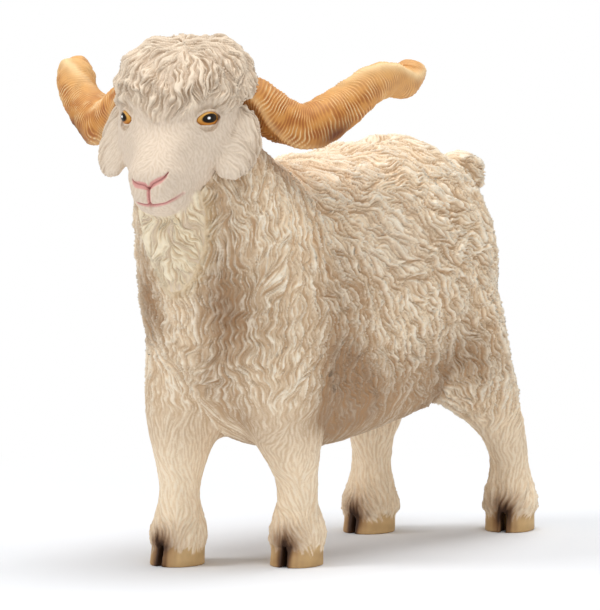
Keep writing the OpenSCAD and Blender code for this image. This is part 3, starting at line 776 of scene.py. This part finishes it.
shaggy = np.clip(on_mop + on_beard, 0, 1)
calm = (1 - smooth(0.2, 0.7, pink)) * (1 - 0.8 * lid)
hair = shaggy * (0.20 * locks + 0.20 * curls + 0.07 * threads)
hair += (1 - shaggy) * calm * (0.05 - 0.012 * on_ear) * down
to_seam = np.where(beard_gap < SEAM_REACH, np.abs(beard_gap - top_gap[:, 5]), 2.0)
hair *= smooth(0.0, 0.5, to_seam) * (1 - 0.8 * lips)
face.v += face_normals * (sculpt + hair)[:, None]

# Paint on the head

SNOW = linear(228, 210, 190)
SHADE = linear(206, 184, 158)
EAR = linear(230, 213, 193)
MILK = linear(236, 218, 195)
MOP_WASH = linear(152, 122, 92)
FOLD = linear(160, 136, 108)
PINK = linear(224, 164, 156)
CREASE = linear(164, 102, 98)

nap = smooth(-0.9, 0.7, down)
ridge = 0.4 * locks + 0.5 * curls + 0.4 * threads
tops_paint = two_tone(SHADE, SNOW, 0.5 + 0.5 * nap)
tops_paint = mix(tops_paint, two_tone(SHADE, EAR, 0.45 + 0.55 * nap), on_ear)
tops_paint = mix(tops_paint, two_tone(STRAW_WASH, STRAW, smooth(-1.0, 0.3, ridge)), on_beard)
tops_paint = mix(tops_paint, SEAM, 0.7 * on_beard * smooth(1.3, 0.0, to_seam))
tops_paint = mix(tops_paint, two_tone(MOP_WASH, MILK, smooth(-1.0, 0.6, ridge)), on_mop)
tops_paint = mix(tops_paint, FOLD, 0.35 * shadow)
tops_paint = mix(tops_paint, PINK, 0.95 * pink)
tops_paint = mix(tops_paint, CREASE, 0.75 * crease)
share_out(face, top_label, tops_paint, TOPS, skip=["torso"])

# Eyes: amber lenses in the lids

AMBER = linear(214, 160, 80)
DEEP_AMBER = linear(196, 126, 48)
EYE_RIM = linear(150, 92, 36)
PUPIL = linear(26, 18, 12)
GLEAM = np.array([1.0, 1.0, 1.0])
PUPIL_HALF = (1.22, 0.62)
LENS_DEPTH = 1.0


def in_eye(side, a, b, c):
    """Points given along, up and out from the middle of an eye."""
    at = EYE_AT + a[:, None] * EYE_ALONG + b[:, None] * EYE_UP + c[:, None] * EYE_OUT
    return from_head(at * [side, 1, 1])


def lens(side, node, turns=64, steps=18):
    """A shallow closed lens, flush with the smoothed face."""
    lon = np.linspace(0, 2 * math.pi, turns, endpoint=False)
    g = np.linspace(0, 1.12, steps + 1)[1:]
    disc = np.stack([np.outer(g, np.cos(lon)), np.outer(g, np.sin(lon))], -1).reshape(-1, 2)
    disc = np.vstack([[[0.0, 0.0]], disc])
    a, b = disc[:, 0] * EYE_HALF[0], disc[:, 1] * EYE_HALF[1]
    g = np.hypot(disc[:, 0], disc[:, 1])
    n = len(g)
    c = np.full(n, 1.5)
    for _ in range(12):
        c -= 0.8 * top.look(in_eye(side, a, b, c))
    terms = np.stack([np.ones(n), a, b, a * a, a * b, b * b], 1)
    c = terms @ np.linalg.lstsq(terms, c, rcond=None)[0]
    v = np.vstack([in_eye(side, a, b, c - 0.12 + 0.2 * (1 - g * g)), in_eye(side, a, b, c - LENS_DEPTH)])
    ring = 1 + np.arange(steps * turns).reshape(steps, turns)
    after = np.roll(ring, -1, 1)
    fan = np.stack([np.zeros(turns, int), ring[0], after[0]], 1)
    quads = np.stack([ring[:-1], ring[1:], after[1:], after[:-1]], -1).reshape(-1, 4)
    rim = np.stack([ring[-1], ring[-1] + n, after[-1] + n, after[-1]], 1)
    quads = np.concatenate([quads, quads[:, ::-1] + n, rim])
    fan = np.concatenate([fan, fan[:, ::-1] + n])
    if side < 0:
        quads, fan = quads[:, ::-1], fan[:, ::-1]
    pupil = np.hypot((a - 0.05) / PUPIL_HALF[0], (b + 0.02) / PUPIL_HALF[1])
    gleam = np.hypot((a + 0.25) / 1.3, b)
    iris = two_tone(AMBER, DEEP_AMBER, smooth(0.3, -0.6, b))
    iris = mix(iris, EYE_RIM, smooth(0.88, 1.02, almond(a, b)))
    iris = mix(iris, PUPIL, smooth(1.06, 0.94, pupil))
    # Painted highlight: a white dot for the reflection of the light on the eye
    iris = mix(iris, GLEAM, smooth(0.21, 0.12, gleam))
    build(f"{node}_lens", v, [quads, fan], np.vstack([iris, iris]), node)


lens(1, "left_eye")
lens(-1, "right_eye")

# Horns: ringed and keeled corkscrews on the castings' own centre lines

# Stations: shares of the span sideways, back and up, and of the taper from root to tip
HORN_PATH = np.array([
    [0.15, 0.08, 0.48, 0.00], [0.33, 0.18, 0.36, 0.08], [0.48, 0.26, 0.02, 0.20],
    [0.61, 0.34, -0.09, 0.36], [0.77, 0.49, 0.22, 0.52], [0.87, 0.61, 0.58, 0.62],
    [0.93, 0.76, 0.70, 0.70], [0.98, 0.88, 0.63, 0.78], [1.00, 0.96, 0.75, 0.86],
    [1.00, 1.00, 1.00, 0.96],
])
HORN_SPAN = np.array([24.6, 24.5, 7.6])
HORN_ROOT = 7.2
HORN_TIP = 3.8

# Keels: angle at the root and turn to the tip, in degrees
LOWER_KEEL = (-36, 263)
UPPER_KEEL = (-231, 233)
KEEL_HEIGHT = 0.55
RING_PITCH = 2.4
RIB_PITCH = 0.43
BEND_SHARE = 0.46
BEND_ANGLE = math.radians(50)

GROOVE = linear(170, 100, 42)
GOLD = linear(212, 148, 76)
RIB = linear(252, 226, 178)
TOP_HIGHLIGHT = linear(236, 188, 122)
TIP = linear(244, 198, 136)
KEEL_HIGHLIGHT = linear(253, 226, 178)
BRINK_HIGHLIGHT = linear(250, 214, 156)
LEDGE_SHADE = linear(150, 88, 36)
BEND_SHADE = linear(98, 44, 12)


def spline(rows, t):
    last = len(rows) - 1
    i = np.minimum(t.astype(int), last - 1)
    f = (t - i)[:, None]
    a, b = rows[np.maximum(i - 1, 0)], rows[i]
    c, d = rows[i + 1], rows[np.minimum(i + 2, last)]
    square = 2 * a - 5 * b + 4 * c - d
    cube = 3 * b - a - 3 * c + d
    return 0.5 * (2 * b + (c - a) * f + square * f ** 2 + cube * f ** 3)


def wrapped(angle):
    return np.mod(angle + math.pi, 2 * math.pi) - math.pi


def keel_angle(around, share, course):
    """Angle from a keel, for each station and each side of the horn."""
    return around[None] - np.radians(course[0] + course[1] * share)[:, None]


def horn(side, node):
    count, sides = int(760 / COARSE), int(96 / COARSE)
    row = spline(HORN_PATH, np.linspace(0, len(HORN_PATH) - 1, count))
    mid = row[:, :3] * (HORN_SPAN * [side, 1, 1])
    heading = unit(np.gradient(mid, axis=0))
    e1 = unit(np.cross(heading, [0, 0, 1]))
    e2 = np.cross(heading, e1)
    run = np.concatenate([[0], np.cumsum(np.linalg.norm(np.diff(mid, axis=0), axis=1))])
    share = run / run[-1]
    radius = (HORN_ROOT + row[:, 3] * (HORN_TIP - HORN_ROOT)) / 2
    angle = np.linspace(0, 2 * math.pi, sides, endpoint=False)
    out = np.cos(angle)[None, :, None] * e1[:, None] + np.sin(angle)[None, :, None] * e2[:, None]
    plain = (mid[:, None] + radius[:, None, None] * out).reshape(-1, 3)

    # Keels, with a ledge beside the lower one
    around = angle if side > 0 else math.pi - angle
    lower = wrapped(keel_angle(around, share, LOWER_KEEL))
    upper = keel_angle(around, share, UPPER_KEEL)
    edges = np.maximum(np.cos(lower), 0) ** 14 + np.maximum(np.cos(upper), 0) ** 14
    ledge = smooth(0.0, 0.16, lower) * smooth(1.6, 0.3, lower) * smooth(0.6, 0.45, share)[:, None]
    keel = KEEL_HEIGHT * edges * (1 - 0.3 * share)[:, None] - 0.35 * ledge

    # Broad growth rings and fine ribs, which bend round the keels
    drift = 0.3 * ripple(plain, 6.0, 301) + 0.04 * ripple(plain, 1.6, 302)
    where = run[:, None] + drift.reshape(count, sides) + 0.9 * edges
    big = 0.5 - 0.5 * np.cos(2 * math.pi * where / RING_PITCH)
    small = 1 - np.abs(2 * np.mod(where / RIB_PITCH, 1.0) - 1)
    strength = 0.6 + 0.25 * ripple(plain, 4.0, 303) + 0.28 * ripple(plain, 2.2, 304)
    strength = np.clip(strength.reshape(count, sides), 0.3, 1)
    strength *= (1 - 0.4 * smooth(0.6, 0.95, share))[:, None]
    ribs = strength * small ** 3
    size = (radius - 0.10)[:, None] + keel + (0.10 * big + 0.20 * ribs)
    size *= (0.35 + 0.65 * np.sqrt(np.clip((1 - share) / 0.035, 0, 1)))[:, None]
    v = from_head((mid[:, None] + size[..., None] * out).reshape(-1, 3))
    v = np.vstack([v, from_head(mid[[0, -1]])])

    k = np.arange((count - 1) * sides)
    after = k - k % sides + (k + 1) % sides
    quads = np.stack([k, k + sides, after + sides, after], 1)
    near = np.arange(sides)
    far = near + (count - 1) * sides
    caps = np.concatenate([
        np.stack([(near + 1) % sides, np.full(sides, count * sides), near], 1),
        np.stack([far, np.full(sides, count * sides + 1), far - near + (near + 1) % sides], 1),
    ])

    # Paint: dark grooves and pale ribs, paler to the tip; painted light on top and on the keels, painted
    # shade under the ledge and the bend
    place = np.repeat(share, sides)
    rib = ribs.ravel()
    streak = 0.5 + 0.5 * ripple(plain, 2.2, 305)
    above = smooth(0.1, 0.9, out[..., 2].ravel())
    keel_line = (np.maximum(np.cos(upper), 0) ** 24).ravel() * smooth(0.45, 0.75, place)
    brink = (bell(lower + 0.1, 0.12) * smooth(0.55, 0.4, share)[:, None]).ravel()
    below = np.tile(bell(wrapped(around[None] - BEND_ANGLE), 0.6), (count, 1)).ravel()
    gold = two_tone(GROOVE, GOLD, smooth(0.0, 0.3, rib + 0.2 * streak))
    gold = mix(gold, RIB, 0.85 * smooth(0.25, 0.7, rib))
    # Painted light: the upper side of the horn is lighter, more so towards the tip
    gold = mix(gold, TOP_HIGHLIGHT, (0.2 + 0.4 * smooth(0.4, 0.6, place)) * above)
    gold = mix(gold, TIP, 0.4 * smooth(0.55, 0.8, place))
    # Painted highlight along the upper keel towards the tip
    gold = mix(gold, KEEL_HIGHLIGHT, 0.6 * keel_line)
    # Painted highlight on the upper edge of the lower keel, near the root
    gold = mix(gold, BRINK_HIGHLIGHT, 0.35 * brink)
    # Painted shade on the downward face below the lower keel, beside the ledge
    gold = mix(gold, LEDGE_SHADE, 0.45 * ledge.ravel())
    # Painted shade on the underside of the horn at the bend
    gold = mix(gold, BEND_SHADE, 0.95 * below * bell(place - BEND_SHARE, 0.07))
    gold = np.vstack([gold, gold[:1], gold[-1:]])
    build(f"{node}_sheath", v, [quads, caps], gold, node)


horn(1, "left_horn")
horn(-1, "right_horn")

# Camera, at the photograph's viewing angle

AZ, EL, REACH = math.radians(40), math.radians(5), 0.650
TARGET = Vector((0.00365, 0.00195, 0.0344))
LENS = 276.9

eye_ray = Vector((math.sin(AZ) * math.cos(EL), -math.cos(AZ) * math.cos(EL), math.sin(EL)))
camera_data = bpy.data.cameras.new("camera")
camera_data.sensor_fit = "HORIZONTAL"
camera_data.sensor_width = 36.0
camera_data.lens = LENS
camera_data.clip_start = 0.01
camera = bpy.data.objects.new("camera", camera_data)
camera.location = TARGET + REACH * eye_ray
camera.rotation_euler = eye_ray.to_track_quat("Z", "Y").to_euler()
bpy.context.scene.collection.objects.link(camera)
bpy.context.scene.camera = camera

# Light


def lamp(name, place, aim, size, power):
    data = bpy.data.lights.new(name, "AREA")
    data.size = size
    data.energy = power
    thing = bpy.data.objects.new(name, data)
    thing.location = place
    thing.rotation_euler = (Vector(place) - Vector(aim)).to_track_quat("Z", "Y").to_euler()
    bpy.context.scene.collection.objects.link(thing)


lamp("key", (-0.35, -0.55, 0.60), (0, 0, 0.04), 0.30, 2.6)
lamp("fill", (0.65, -0.35, 0.25), (0, 0, 0.04), 0.5, 1.0)
lamp("top", (0.10, 0.05, 0.80), (0, 0, 0.03), 0.5, 4.2)


def shown(tree):
    """1 for rays that see the white background: camera, glossy and transmission rays."""
    ray = tree.nodes.new("ShaderNodeLightPath")
    total = ray.outputs["Is Camera Ray"]
    for kind in ("Is Glossy Ray", "Is Transmission Ray"):
        add = tree.nodes.new("ShaderNodeMath")
        add.operation = "MAXIMUM"
        tree.links.new(total, add.inputs[0])
        tree.links.new(ray.outputs[kind], add.inputs[1])
        total = add.outputs["Value"]
    return total


SKY_LIGHT = 0.35

world = bpy.data.worlds.new("studio")
bpy.context.scene.world = world
world.use_nodes = True
nodes, links = world.node_tree.nodes, world.node_tree.links
sky = nodes["Background"]
sky.inputs["Color"].default_value = (1, 1, 1, 1)
sky.inputs["Strength"].default_value = SKY_LIGHT
backdrop = nodes.new("ShaderNodeBackground")
backdrop.inputs["Color"].default_value = (1, 1, 1, 1)
backdrop.inputs["Strength"].default_value = 1.0
either = nodes.new("ShaderNodeMixShader")
links.new(shown(world.node_tree), either.inputs["Fac"])
links.new(sky.outputs["Background"], either.inputs[1])
links.new(backdrop.outputs["Background"], either.inputs[2])
links.new(either.outputs["Shader"], nodes["World Output"].inputs["Surface"])
bpy.context.scene.view_settings.view_transform = "Standard"

# Floor: pale and matte round the goat, where its shadow falls, and white further out

FLOOR_HALF = 4
FLOOR_TONE = (0.88, 0.9, 0.93, 1)
FADE_FROM, FADE_TO = 0.04, 0.115

corners = [(x * FLOOR_HALF, y * FLOOR_HALF, 0) for x, y in ((-1, -1), (1, -1), (1, 1), (-1, 1))]
floor_mesh = bpy.data.meshes.new("floor")
floor_mesh.from_pydata(corners, [], [(0, 1, 2, 3)])
floor = bpy.data.objects.new("floor", floor_mesh)
bpy.context.scene.collection.objects.link(floor)
floor_paint = bpy.data.materials.new("floor paint")
floor_paint.use_nodes = True
nodes, links = floor_paint.node_tree.nodes, floor_paint.node_tree.links
matte = nodes["Principled BSDF"]
matte.inputs["Base Color"].default_value = FLOOR_TONE
matte.inputs["Roughness"].default_value = 0.9
matte.inputs["Specular IOR Level"].default_value = 0.0
white = nodes.new("ShaderNodeEmission")
white.inputs["Strength"].default_value = 1.0
place = nodes.new("ShaderNodeTexCoord")
reach = nodes.new("ShaderNodeVectorMath")
reach.operation = "LENGTH"
links.new(place.outputs["Object"], reach.inputs[0])
far = nodes.new("ShaderNodeMapRange")
far.interpolation_type = "SMOOTHSTEP"
far.inputs["From Min"].default_value = FADE_FROM
far.inputs["From Max"].default_value = FADE_TO
links.new(reach.outputs["Value"], far.inputs["Value"])
fade = nodes.new("ShaderNodeMath")
fade.operation = "MULTIPLY"
links.new(far.outputs["Result"], fade.inputs[0])
links.new(shown(floor_paint.node_tree), fade.inputs[1])
spread = nodes.new("ShaderNodeMixShader")
links.new(fade.outputs["Value"], spread.inputs["Fac"])
links.new(matte.outputs["BSDF"], spread.inputs[1])
links.new(white.outputs["Emission"], spread.inputs[2])
links.new(spread.outputs["Shader"], nodes["Material Output"].inputs["Surface"])
floor_mesh.materials.append(floor_paint)
